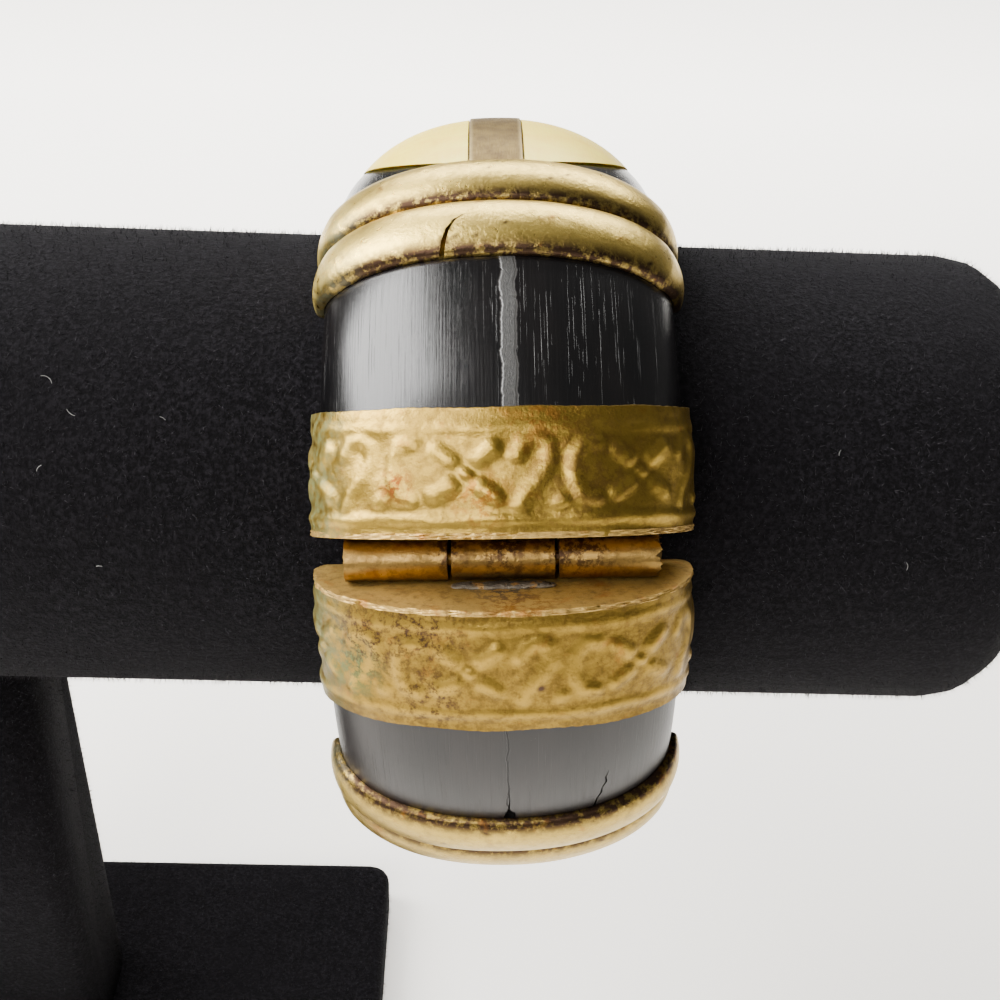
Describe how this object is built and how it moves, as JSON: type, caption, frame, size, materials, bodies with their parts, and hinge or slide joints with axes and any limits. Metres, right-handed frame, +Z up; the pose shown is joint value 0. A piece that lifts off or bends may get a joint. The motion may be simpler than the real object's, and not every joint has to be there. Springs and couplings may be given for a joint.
{
  "type": "hinged bangle on T-bar stand",
  "caption": "Dark horn bangle that opens on a brass hinge, with stamped brass bands, ribs and a bone crown, hanging on a black velvet T-bar stand.",
  "frame": {"origin": "centre of the underside of the stand's base", "axes": "+X along the bar, towards the end that carries the bangle; +Z up; -Y the side that the hinge faces"},
  "size_m": [0.247, 0.0798, 0.141],
  "materials": {
    "black_horn": "black horn, polished above and satin below, with fine scratches",
    "aged_brass": "sheet brass with a brown and green patina",
    "hinge_brass": "browned brass",
    "dull_nickel": "greyed brass strip",
    "pale_bone": "smooth pale bone, yellower at its lower edge",
    "black_velvet": "short black pile"
  },
  "bodies": {
    "stand_and_upper_half": {"stand_bar": "black_velvet", "stand_base": "black_velvet", "stand_post": "black_velvet", "upper_horn": "black_horn", "upper_hinge_cap": "aged_brass", "upper_clasp_cap": "aged_brass", "upper_rib_front_a": "aged_brass", "upper_rib_front_b": "aged_brass", "upper_rib_back_a": "aged_brass", "upper_rib_back_b": "aged_brass", "bone_cap": "pale_bone", "crown_strip": "dull_nickel", "hinge_pin": "hinge_brass", "clasp": "hinge_brass"},
    "lower_half": {"lower_horn": "black_horn", "lower_hinge_cap": "aged_brass", "lower_clasp_cap": "aged_brass", "lower_rib_front_a": "aged_brass", "lower_rib_front_b": "aged_brass", "lower_rib_back_a": "aged_brass", "lower_rib_back_b": "aged_brass"}
  },
  "joints": [
    {"name": "bangle_hinge", "type": "hinge", "parent": "stand_and_upper_half", "child": "lower_half", "pos_m": [0.06979, -0.0301, 0.11426], "axis": [-0.9986, 0, -0.0523], "range_deg": [0, 45]}
  ]
}
